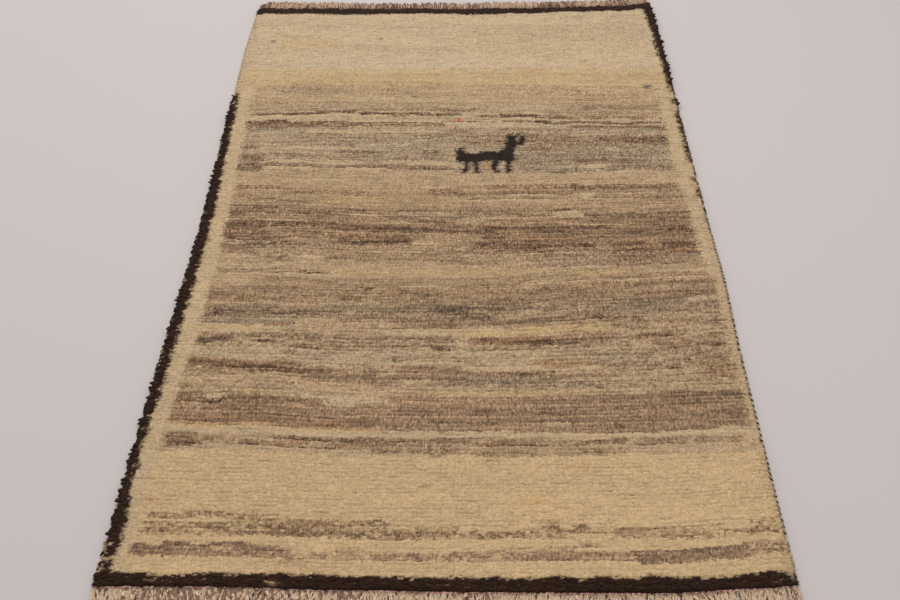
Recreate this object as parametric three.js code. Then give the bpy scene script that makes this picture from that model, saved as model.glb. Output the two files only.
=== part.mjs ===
// Hand-knotted gabbeh rug with an overcast cord down each side and a looped warp fringe at each end.
// Millimetres, +Z up. It lies flat on its back, +Y runs along its length, away from the near end,
// and the origin is on the floor under the middle of the knotted field.

import * as THREE from 'three';

// Driving dimensions
const FIELD_LENGTH = 1645;
const RUG_THICKNESS = 13.4;
const TIGHT_FIT = 0.35;
const SELVEDGE_DIAMETER = 6.6;
const SELVEDGE_SIDES = 8;
const FIELD_CELL = 36;
const LOCKS_PER_CELL = 3;
const FRINGE_STRANDS = 124;
const FRINGE_LENGTH = 34;
const SHORTEST_STRAND = 0.8;
const FRINGE_SWAY = 5;
const FRINGE_STRAY = 1.8;
const STRAND_WIDTH = 3.4;
const STRAND_HEIGHT = 3.2;
const STRIP_DEPTH = 8;
const LOCK_DROOP = 1.6;

// The long sides bow and draw in: where each lies, by its share of the length from the near end.
const SIDE_EDGES = [
	{ along: 0.0, left: - 502, right: 502 },
	{ along: 0.1, left: - 500, right: 501 },
	{ along: 0.25, left: - 497, right: 502 },
	{ along: 0.38, left: - 495, right: 507 },
	{ along: 0.5, left: - 495, right: 504 },
	{ along: 0.62, left: - 499, right: 503 },
	{ along: 0.75, left: - 503, right: 502 },
	{ along: 0.9, left: - 506, right: 501 },
	{ along: 1.0, left: - 504, right: 497 },
];

// The ends aren't straight: how far each swells out, by its share of the width from the left.
const END_EDGES = [
	{ across: 0.0, near: - 2, far: 4 },
	{ across: 0.16, near: - 1, far: - 4 },
	{ across: 0.36, near: 4, far: - 12 },
	{ across: 0.56, near: 7, far: - 16 },
	{ across: 0.82, near: 9, far: - 15 },
	{ across: 0.95, near: 2, far: - 8 },
	{ across: 1.0, near: - 2, far: 3 },
];

// The rim from the sole up: the side of the ground weave, then the locks that lean out over it.
const RIM_PROFILE = [
	{ height: 0, inset: 0, lock: 0 },
	{ height: 7.4, inset: 0, lock: 0 },
	{ height: 10.4, inset: 1, lock: 1 },
];
const FIELD_INSET = 11;

// How far the longest locks hang out past each edge. The left rim is the shaggy one.
const LOCK_REACH = { near: 6, right: 2.5, far: 4, left: 9 };

// The twined strip at each end: how far its rows lie out from the field's edge, and how high.
const STRIP_PROFILE = {
	back: { away: TIGHT_FIT, height: 4.2 },
	ridge: { away: TIGHT_FIT + 2.4, height: 5.2 },
};

// Soft swells and lumps of the pile, each a wave with its own lengths over the width and the length.
const SWELLS = [
	{ lift: 0.5, acrossLength: 410, alongLength: 560, phase: 0.4 },
	{ lift: 0.4, acrossLength: - 230, alongLength: 340, phase: 2.1 },
	{ lift: 0.4, acrossLength: 150, alongLength: - 118, phase: 4.4 },
	{ lift: 0.4, acrossLength: 900, alongLength: 88, phase: 1.3 },
];

// The strands of a fringe lie over in groups: waves of lean along the rug's end.
const FRINGE_WAVES = [
	{ length: 380, share: 1 },
	{ length: 145, share: 0.7 },
];

// A strand from its root to its tip: how far along, and how thick it is there.
const STRAND_STATIONS = [
	{ share: 0, thickness: 1 },
	{ share: 0.55, thickness: 0.9 },
	{ share: 1, thickness: 0.7 },
];

// Repeatable unevenness, from 0 to 1, for the item with this number.
function uneven( number, kind ) {

	const wave = Math.sin( number * 12.9898 + kind * 78.233 ) * 43758.5453;
	return wave - Math.floor( wave );

}

// A smooth value between the rows of one of the tables above.
function between( table, place, key, share ) {

	const last = table.length - 1;
	const next = Math.max( 1, table.findIndex( ( row ) => row[ place ] >= share ) );
	const after = share > table[ last ][ place ] ? last : next;
	const from = table[ after - 1 ];
	const to = table[ after ];
	const part = THREE.MathUtils.smoothstep( share, from[ place ], to[ place ] );
	return THREE.MathUtils.lerp( from[ key ], to[ key ], part );

}

// The field's grid, and the finer steps of its rim, which the strips at the ends share.
const COLUMNS = Math.round( 1000 / FIELD_CELL );
const ROWS = Math.round( FIELD_LENGTH / FIELD_CELL );
const STRIP_SECTIONS = COLUMNS * LOCKS_PER_CELL;

// The four edges of the knotted field.
const leftEdge = ( along ) => between( SIDE_EDGES, 'along', 'left', along );
const rightEdge = ( along ) => between( SIDE_EDGES, 'along', 'right', along );
const nearEdge = ( across ) => - FIELD_LENGTH / 2 - between( END_EDGES, 'across', 'near', across );
const farEdge = ( across ) => FIELD_LENGTH / 2 + between( END_EDGES, 'across', 'far', across );

// A point of the field, drawn in from each edge by the given amounts.
function fieldPoint( across, along, insetX, insetY, height ) {

	const x = THREE.MathUtils.lerp( leftEdge( along ) + insetX, rightEdge( along ) - insetX, across );
	const y = THREE.MathUtils.lerp( nearEdge( across ) + insetY, farEdge( across ) - insetY, along );
	return new THREE.Vector3( x, y, height );

}

// The pile's height over the floor.
function pileHeight( x, y ) {

	const swell = SWELLS.reduce( ( sum, wave ) => {

		const turn = 2 * Math.PI * ( x / wave.acrossLength + y / wave.alongLength );
		return sum + wave.lift * Math.sin( turn + wave.phase );

	}, 0 );
	return RUG_THICKNESS + swell;

}

// A closed surface from points and from triangles of their numbers.
function solid( points, triangles ) {

	const geometry = new THREE.BufferGeometry();
	geometry.setFromPoints( points );
	geometry.setIndex( triangles.flat() );
	geometry.computeVertexNormals();
	return geometry;

}

// The edge of a grid, once round from its near left corner, as shares of the width and the length.
function walkRound( columns, rows ) {

	const steps = [];
	for ( let i = 0; i < columns; i ++ ) steps.push( { across: i / columns, along: 0, side: 'near' } );
	for ( let j = 0; j < rows; j ++ ) steps.push( { across: 1, along: j / rows, side: 'right' } );
	for ( let i = columns; i > 0; i -- ) steps.push( { across: i / columns, along: 1, side: 'far' } );
	for ( let j = rows; j > 0; j -- ) steps.push( { across: 0, along: j / rows, side: 'left' } );
	return steps;

}

// The knotted pile on its ground weave, in one slab: flat sole, locks at the rim, lumpy top.
function pileSlab() {

	const points = [];
	const triangles = [];

	const rim = walkRound( COLUMNS * LOCKS_PER_CELL, ROWS * LOCKS_PER_CELL );
	RIM_PROFILE.forEach( ( ring ) => {

		rim.forEach( ( step, index ) => {

			const tip = index % 2 === 0 ? 0.55 + 0.45 * uneven( index, 1 ) : 0.3 * uneven( index, 2 );
			const reach = ring.lock * tip * LOCK_REACH[ step.side ];
			const alongSide = step.side === 'left' || step.side === 'right';
			const corner = step.across % 1 === 0 && step.along % 1 === 0;
			const insetX = ring.inset - ( alongSide || corner ? reach : 0 );
			const insetY = ring.inset - ( alongSide && ! corner ? 0 : reach );
			const droop = ring.lock * LOCK_DROOP * ( uneven( index, 3 ) - 0.5 );
			points.push( fieldPoint( step.across, step.along, insetX, insetY, ring.height + droop ) );

		} );

	} );

	for ( let ring = 0; ring < RIM_PROFILE.length - 1; ring ++ ) {

		for ( let i = 0; i < rim.length; i ++ ) {

			const low = ring * rim.length + i;
			const lowNext = ring * rim.length + ( i + 1 ) % rim.length;
			const high = low + rim.length;
			const highNext = lowNext + rim.length;
			triangles.push( [ low, lowNext, highNext ], [ low, highNext, high ] );

		}

	}

	const fieldStart = points.length;
	for ( let j = 0; j <= ROWS; j ++ ) {

		for ( let i = 0; i <= COLUMNS; i ++ ) {

			const point = fieldPoint( i / COLUMNS, j / ROWS, FIELD_INSET, FIELD_INSET, 0 );
			point.z = pileHeight( point.x, point.y );
			points.push( point );

		}

	}

	const fieldIndex = ( i, j ) => fieldStart + j * ( COLUMNS + 1 ) + i;
	for ( let j = 0; j < ROWS; j ++ ) {

		for ( let i = 0; i < COLUMNS; i ++ ) {

			const a = fieldIndex( i, j );
			const b = fieldIndex( i + 1, j );
			const c = fieldIndex( i + 1, j + 1 );
			const d = fieldIndex( i, j + 1 );
			triangles.push( [ a, b, c ], [ a, c, d ] );

		}

	}

	// The roll from the tips of the locks up to the field.
	const tips = ( RIM_PROFILE.length - 1 ) * rim.length;
	const fieldRim = walkRound( COLUMNS, ROWS ).map( ( step ) => {

		return fieldIndex( Math.round( step.across * COLUMNS ), Math.round( step.along * ROWS ) );

	} );
	fieldRim.forEach( ( inner, cell ) => {

		const innerNext = fieldRim[ ( cell + 1 ) % fieldRim.length ];
		for ( let k = 0; k < LOCKS_PER_CELL; k ++ ) {

			const outer = tips + cell * LOCKS_PER_CELL + k;
			const outerNext = tips + ( cell * LOCKS_PER_CELL + k + 1 ) % rim.length;
			triangles.push( [ outer, outerNext, k < 2 ? inner : innerNext ] );
			if ( k === 1 ) triangles.push( [ outerNext, innerNext, inner ] );

		}

	} );

	const sole = points.slice( 0, rim.length ).map( ( point ) => new THREE.Vector2( point.x, point.y ) );
	THREE.ShapeUtils.triangulateShape( sole, [] ).forEach( ( face ) => {

		triangles.push( [ face[ 0 ], face[ 2 ], face[ 1 ] ] );

	} );

	return solid( points, triangles );

}

// The cord of bundled warps down one side, overcast with yarn. It has flats below and beside the slab.
function selvedgeCord( edge, outward ) {

	const radius = SELVEDGE_DIAMETER / 2;
	const reach = radius / Math.cos( Math.PI / SELVEDGE_SIDES );
	const corners = [];
	for ( let side = 0; side < SELVEDGE_SIDES; side ++ ) {

		const turn = 2 * Math.PI * ( side + 0.5 ) / SELVEDGE_SIDES;
		corners.push( new THREE.Vector2( reach * Math.cos( turn ), reach * Math.sin( turn ) ) );

	}

	const across = outward > 0 ? 1 : 0;
	const steps = ROWS * LOCKS_PER_CELL / 2;
	const route = [];
	for ( let i = 0; i <= steps; i ++ ) {

		const x = edge( i / steps ) + outward * ( TIGHT_FIT + radius );
		const y = THREE.MathUtils.lerp( nearEdge( across ), farEdge( across ), i / steps );
		route.push( new THREE.Vector3( x, y, radius ) );

	}

	return new THREE.ExtrudeGeometry( new THREE.Shape( corners ), {
		steps,
		bevelEnabled: false,
		extrudePath: new THREE.CatmullRomCurve3( route ),
	} );

}

// Triangles between two rows of points that run the same way with different steps.
function bridgeRows( points, rowA, rowB ) {

	const triangles = [];
	let a = 0;
	let b = 0;
	while ( a < rowA.length - 1 || b < rowB.length - 1 ) {

		const nextA = a < rowA.length - 1 ? points[ rowA[ a + 1 ] ].x : Infinity;
		const nextB = b < rowB.length - 1 ? points[ rowB[ b + 1 ] ].x : Infinity;
		if ( nextA <= nextB ) {

			triangles.push( [ rowA[ a ], rowA[ a + 1 ], rowB[ b ] ] );
			a ++;

		} else {

			triangles.push( [ rowA[ a ], rowB[ b + 1 ], rowB[ b ] ] );
			b ++;

		}

	}

	return triangles;

}

// The ends of the warps past one end of the field: a twined strip, and plied strands that grow
// out of it and lie on the floor. Outward is -1 for the near end and 1 for the far one.
function warpFringe( edge, along, outward ) {

	const left = leftEdge( along );
	const width = rightEdge( along ) - left;
	const pitch = width / FRINGE_STRANDS;
	const points = [];
	let triangles = [];

	const addPoint = ( x, away, z ) => {

		const y = edge( ( x - left ) / width ) + outward * away;
		return points.push( new THREE.Vector3( x, y, z ) ) - 1;

	};

	// The strip's own rows, each a line across the rug.
	const stripRow = ( away, z ) => {

		const row = [];
		for ( let i = 0; i <= STRIP_SECTIONS; i ++ ) {

			row.push( addPoint( left + width * i / STRIP_SECTIONS, away, z ) );

		}

		return row;

	};

	const backBottom = stripRow( STRIP_PROFILE.back.away, 0 );
	const backTop = stripRow( STRIP_PROFILE.back.away, STRIP_PROFILE.back.height );
	const ridge = stripRow( STRIP_PROFILE.ridge.away, STRIP_PROFILE.ridge.height );
	const frontBottom = [ addPoint( left, STRIP_DEPTH, 0 ) ];
	const frontTop = [ addPoint( left, STRIP_DEPTH, STRAND_HEIGHT ) ];

	for ( let strand = 0; strand < FRINGE_STRANDS; strand ++ ) {

		const root = left + ( strand + 0.5 ) * pitch;
		const sway = FRINGE_WAVES.reduce( ( sum, wave ) => {

			return sum + wave.share * Math.sin( 2 * Math.PI * root / wave.length + 2 * along );

		}, 0 );
		const lean = FRINGE_SWAY * sway + FRINGE_STRAY * ( uneven( strand, 5 + along ) - 0.5 );
		const part = THREE.MathUtils.lerp( SHORTEST_STRAND, 1, uneven( strand, 8 + along ) );
		const length = FRINGE_LENGTH * part;

		// The four corners of the strand, low left, low right, high right and high left.
		const rings = STRAND_STATIONS.map( ( { share, thickness } ) => {

			const x = root + lean * share * share;
			const half = STRAND_WIDTH * thickness / 2;
			const away = STRIP_DEPTH + length * share;
			return [
				addPoint( x - half, away, 0 ),
				addPoint( x + half, away, 0 ),
				addPoint( x + half, away, STRAND_HEIGHT * thickness ),
				addPoint( x - half, away, STRAND_HEIGHT * thickness ),
			];

		} );

		for ( let k = 0; k < rings.length - 1; k ++ ) {

			for ( let side = 0; side < 4; side ++ ) {

				const a = rings[ k ][ side ];
				const b = rings[ k ][ ( side + 1 ) % 4 ];
				const c = rings[ k + 1 ][ ( side + 1 ) % 4 ];
				const d = rings[ k + 1 ][ side ];
				triangles.push( [ a, b, c ], [ a, c, d ] );

			}

		}

		const tip = rings[ rings.length - 1 ];
		triangles.push( [ tip[ 0 ], tip[ 1 ], tip[ 2 ] ], [ tip[ 0 ], tip[ 2 ], tip[ 3 ] ] );

		// The strip's front between the last strand and this one.
		const before = [ frontBottom.at( - 1 ), frontTop.at( - 1 ) ];
		const [ lowLeft, lowRight, highRight, highLeft ] = rings[ 0 ];
		triangles.push( [ before[ 0 ], lowLeft, highLeft ], [ before[ 0 ], highLeft, before[ 1 ] ] );
		frontBottom.push( lowLeft, lowRight );
		frontTop.push( highLeft, highRight );

	}

	const endBottom = addPoint( left + width, STRIP_DEPTH, 0 );
	const endTop = addPoint( left + width, STRIP_DEPTH, STRAND_HEIGHT );
	triangles.push( [ frontBottom.at( - 1 ), endBottom, endTop ] );
	triangles.push( [ frontBottom.at( - 1 ), endTop, frontTop.at( - 1 ) ] );
	frontBottom.push( endBottom );
	frontTop.push( endTop );

	triangles.push( ...bridgeRows( points, frontTop, ridge ) );
	triangles.push( ...bridgeRows( points, ridge, backTop ) );
	triangles.push( ...bridgeRows( points, backTop, backBottom ) );
	triangles.push( ...bridgeRows( points, backBottom, frontBottom ) );

	const firstEnd = [ backBottom[ 0 ], frontBottom[ 0 ], frontTop[ 0 ], ridge[ 0 ], backTop[ 0 ] ];
	const lastEnd = [ backBottom, backTop, ridge, frontTop, frontBottom ].map( ( row ) => row.at( - 1 ) );
	[ firstEnd, lastEnd ].forEach( ( face ) => {

		triangles.push( [ face[ 0 ], face[ 1 ], face[ 2 ] ] );
		triangles.push( [ face[ 0 ], face[ 2 ], face[ 3 ] ] );
		triangles.push( [ face[ 0 ], face[ 3 ], face[ 4 ] ] );

	} );

	if ( outward > 0 ) triangles = triangles.map( ( face ) => face.reverse() );
	return solid( points, triangles );

}

// One named piece in its own yarn.
function piece( name, geometry, color, roughness ) {

	const yarn = new THREE.MeshStandardMaterial( { color, roughness, metalness: 0 } );
	const mesh = new THREE.Mesh( geometry, yarn );
	mesh.name = name;
	return mesh;

}

const rug = new THREE.Group();
rug.add( piece( 'knotted_field', pileSlab(), 0xc4ac82, 0.95 ) );
rug.add( piece( 'selvedge_left', selvedgeCord( leftEdge, - 1 ), 0x4a382b, 0.92 ) );
rug.add( piece( 'selvedge_right', selvedgeCord( rightEdge, 1 ), 0x8a7355, 0.92 ) );
rug.add( piece( 'fringe_near', warpFringe( nearEdge, 0, - 1 ), 0xc8af91, 0.9 ) );
rug.add( piece( 'fringe_far', warpFringe( farEdge, 1, 1 ), 0xb08c74, 0.9 ) );

export default rug;
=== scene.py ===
import math

import bmesh
import bpy
import numpy as np
from mathutils import Matrix, Vector


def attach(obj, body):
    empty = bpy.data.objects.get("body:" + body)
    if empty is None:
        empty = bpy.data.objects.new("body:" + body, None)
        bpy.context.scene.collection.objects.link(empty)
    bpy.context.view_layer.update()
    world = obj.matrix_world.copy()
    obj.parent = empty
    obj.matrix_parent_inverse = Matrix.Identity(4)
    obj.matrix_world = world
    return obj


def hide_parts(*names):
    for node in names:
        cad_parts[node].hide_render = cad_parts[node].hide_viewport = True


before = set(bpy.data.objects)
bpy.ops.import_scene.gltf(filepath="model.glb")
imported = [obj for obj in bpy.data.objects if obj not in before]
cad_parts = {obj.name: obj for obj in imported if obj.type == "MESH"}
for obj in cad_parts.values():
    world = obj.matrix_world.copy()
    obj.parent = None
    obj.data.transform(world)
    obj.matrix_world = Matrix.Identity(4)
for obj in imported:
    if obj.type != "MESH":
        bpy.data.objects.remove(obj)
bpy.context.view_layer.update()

# The studio: a plain pale floor under broad soft light from overhead, and a camera that looks down
# at the rug from past its near end, a little to the right of its middle.
MM = 0.001
FLOOR_COLOUR = (0.53, 0.485, 0.478)
FLOOR_HALF = 6.0
FLOOR_DROP = 0.3
SKY_COLOUR = (1.0, 0.985, 0.98)
SKY_STRENGTH = 0.62
CAMERA_PLACE = (0.0665, -1.5325, 1.3041)
LOOK_DOWN = 0.78770
LOOK_ASIDE = -0.04674
CAMERA_ROLL = -0.04493
LENS_LENGTH = 40
FILM_WIDTH = 36

floor_shape = bmesh.new()
bmesh.ops.create_grid(floor_shape, x_segments=1, y_segments=1, size=FLOOR_HALF)
bmesh.ops.translate(floor_shape, verts=floor_shape.verts, vec=(0, 0, -FLOOR_DROP * MM))
floor_mesh = bpy.data.meshes.new("floor")
floor_shape.to_mesh(floor_mesh)
floor_shape.free()
floor = bpy.data.objects.new("floor", floor_mesh)
bpy.context.collection.objects.link(floor)
floor_paint = bpy.data.materials.new("floor_paint")
floor_paint.use_nodes = True
floor_shader = floor_paint.node_tree.nodes["Principled BSDF"]
floor_shader.inputs["Base Color"].default_value = (*FLOOR_COLOUR, 1)
floor_shader.inputs["Roughness"].default_value = 0.9
floor_mesh.materials.append(floor_paint)


def soft_light(name, place, size, power, colour):
    """A square softbox that looks at the middle of the rug."""
    lamp = bpy.data.lights.new(name, "AREA")
    lamp.size = size
    lamp.energy = power
    lamp.color = colour
    box = bpy.data.objects.new(name, lamp)
    box.location = place
    box.rotation_euler = (-Vector(place)).to_track_quat("-Z", "Y").to_euler()
    bpy.context.collection.objects.link(box)


soft_light("overhead", place=(0.1, 0.5, 3.2), size=3.2, power=60, colour=(1.0, 0.985, 0.96))
soft_light("back_left", place=(-1.6, 2.6, 2.2), size=1.8, power=22, colour=(1.0, 0.98, 0.95))

sky = bpy.data.worlds.new("studio")
sky.use_nodes = True
sky_light = sky.node_tree.nodes["Background"]
sky_light.inputs["Color"].default_value = (*SKY_COLOUR, 1)
sky_light.inputs["Strength"].default_value = SKY_STRENGTH
bpy.context.scene.world = sky
bpy.context.scene.view_settings.view_transform = "Standard"

forward = Vector((
    math.sin(LOOK_ASIDE) * math.cos(LOOK_DOWN),
    math.cos(LOOK_ASIDE) * math.cos(LOOK_DOWN),
    -math.sin(LOOK_DOWN),
))
level_right = Vector((math.cos(LOOK_ASIDE), -math.sin(LOOK_ASIDE), 0))
level_up = level_right.cross(forward)
right = level_right * math.cos(CAMERA_ROLL) + level_up * math.sin(CAMERA_ROLL)
up = level_up * math.cos(CAMERA_ROLL) - level_right * math.sin(CAMERA_ROLL)
lens = bpy.data.cameras.new("view")
lens.lens = LENS_LENGTH
lens.sensor_width = FILM_WIDTH
camera = bpy.data.objects.new("view", lens)
camera_turn = Matrix((right, up, -forward)).transposed().to_4x4()
camera.matrix_world = Matrix.Translation(CAMERA_PLACE) @ camera_turn
bpy.context.collection.objects.link(camera)
bpy.context.scene.camera = camera

# The knotted field: hand-spun wool knotted in rows round pairs of warps, each knot ending in two cut
# tufts. Its cream ground is streaked with mixed grey and brown wools, and edged in near-black wool.
# The rows hang lower in the middle than at the sides, and the pile leans towards the near end.
FIELD_LENGTH = 1645
KNOT_ROWS = 210
KNOT_COLUMNS = 160
ROOTS_TOP = 10.3
PILE_TOP = 13.4
LINE_SPACING = 0.47
END_INSET = 1.8
FOOT_SPREAD = 2.2
FOOT_SHADE = 0.8
INNER_FOOT = 9.9
RIM_FOOT = 5.0
RIGHT_WILD_TO = 900
LOCK_CONTRAST = 4.2
PILE_PIECES = 5

# The swells of the pile's top: how high, how long across and along the rug, and the phase.
PILE_SWELLS = (
    (0.5, 410, 560, 0.4), (0.4, -230, 340, 2.1), (0.4, 150, -118, 4.4), (0.4, 900, 88, 1.3),
)

# The x of the long sides, by share of the length from the near end. How far the rows hang, by their
# distance down from the far end, at these shares of the width from the left.
LEFT_SIDE = {
    0.0: -502, 0.1: -500, 0.25: -497, 0.38: -495, 0.5: -495, 0.62: -499, 0.75: -503, 0.9: -506, 1.0: -504,
}
RIGHT_SIDE = {
    0.0: 502, 0.1: 501, 0.25: 502, 0.38: 507, 0.5: 504, 0.62: 503, 0.75: 502, 0.9: 501, 1.0: 497,
}
SAG_SHARES = (0.0, 0.16, 0.36, 0.56, 0.82, 0.95, 1.0)
ROW_SAG = {
    0: (-4, 4, 15, 22, 25, 20, 8),
    262: (0, 2, 8, 15, 22, 22, 21),
    482: (0, 0, 4, 15, 29, 34, 35),
    662: (0, 6, 17, 24, 26, 26, 26),
    862: (0, 6, 20, 29, 27, 24, 23),
    1082: (0, 4, 12, 12, -3, -11, -14),
    1232: (0, 7, 21, 26, 22, 15, 12),
    1362: (0, 7, 19, 22, 20, 16, 15),
    1562: (0, 3, 9, 10, 8, -1, -3),
    1645: (-10, -9, -3, 1, 3, -4, -8),
}


def steps_between(stations, place):
    """Which pair of stations each place lies between, and how far from the first, eased at both."""
    step = np.interp(place, stations, np.arange(len(stations)))
    low = np.minimum(np.floor(step).astype(int), len(stations) - 2)
    part = step - low
    return low, part * part * (3 - 2 * part)


def side_edge(side, along):
    """The x of the left or right edge of the field."""
    low, part = steps_between(list(side), along)
    value = np.array(list(side.values()), float)
    return value[low] + (value[low + 1] - value[low]) * part


def sag(across, down):
    """How much nearer than its left end a row lies."""
    value = np.array(list(ROW_SAG.values()), float)
    i, u = steps_between(list(ROW_SAG), down)
    j, v = steps_between(SAG_SHARES, across)
    upper = value[i, j] * (1 - v) + value[i, j + 1] * v
    lower = value[i + 1, j] * (1 - v) + value[i + 1, j + 1] * v
    return upper * (1 - u) + lower * u


def field_place(across, down):
    """The x and y on the floor of a point of the field, in millimetres."""
    along = 1 - down / FIELD_LENGTH
    left = side_edge(LEFT_SIDE, along)
    x = left + (side_edge(RIGHT_SIDE, along) - left) * across
    return x, FIELD_LENGTH / 2 - down - sag(across, down)


def drawn_in(across, down):
    """How far the left rim is pulled in by its overcasting, fading out over the first knots: 4.5 mm
    past the plain far quarter, and 3 mm more towards the near corner."""
    pull = 4.5 * np.clip(down / 380 - 0.6, 0, 1) + 3 * np.clip(down / 150 - 9, 0, 1)
    return pull * np.clip(1 - across * 40, 0, 1)


def smooth_noise(x, y, cell_x, cell_y, seed):
    """Soft unevenness from 0 to 1 that changes over cells of this size."""
    table = np.random.default_rng(seed).random((97, 97))
    i, j = np.floor(x / cell_x).astype(int), np.floor(y / cell_y).astype(int)
    u, v = x / cell_x - i, y / cell_y - j
    u, v = u * u * (3 - 2 * u), v * v * (3 - 2 * v)
    upper = table[i % 97, j % 97] * (1 - u) + table[(i + 1) % 97, j % 97] * u
    lower = table[i % 97, (j + 1) % 97] * (1 - u) + table[(i + 1) % 97, (j + 1) % 97] * u
    return upper * (1 - v) + lower * v


def wave(swing, x, y, cell_x, cell_y, seed):
    """Soft unevenness about nought, this much from its least to its most."""
    return swing * (smooth_noise(x, y, cell_x, cell_y, seed) - 0.5)


def stray(swing, draw, shape):
    """A draw of its own for each tuft or yarn, about nought, this much from least to most."""
    return swing * (draw.random(shape) - 0.5)


def turned(x, y, turn):
    """Each copy's points turned about the upright axis by its own angle."""
    cos, sin = np.cos(turn)[:, None], np.sin(turn)[:, None]
    return x * cos - y * sin, x * sin + y * cos


def pile_height(x, y):
    """The soft swells of the pile's top, in millimetres over the floor."""
    height = np.full(np.shape(x), PILE_TOP)
    for lift, across_length, along_length, phase in PILE_SWELLS:
        height = height + lift * np.sin(2 * np.pi * (x / across_length + y / along_length) + phase)
    return height


# The wools, as they look in daylight, in 0 to 255.
WOOLS = {
    "cream": (187, 162, 128), "pale": (191, 169, 139), "sun": (195, 166, 126), "gold": (189, 159, 115),
    "fawn": (178, 156, 126), "beige": (174, 147, 115), "ash": (162, 141, 115), "tan": (164, 137, 106),
    "sage": (150, 131, 107), "taupe": (142, 115, 90), "mauve": (133, 105, 84), "rust": (148, 113, 80),
    "brown": (127, 99, 75), "umber": (92, 69, 52), "grey": (136, 115, 93), "slate": (102, 84, 67),
    "dark": (42, 27, 19), "black": (44, 34, 26),
}

# The chart's places start this far outside the field's far left corner. Its first rows fill the frame
# too. A stripe's two ends are ragged, and its long edges wander, by up to half of these.
SHEET_MARGIN = 40
PLAIN_END = 398
STRIPE_REACH = {"x": 7, "down": 3}
STRIPE_RAGGED = 14
STRIPE_WANDER = 5
FLECK_CONTRAST = 1.3
BATCH_MIDDLE = 1.21

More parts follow.
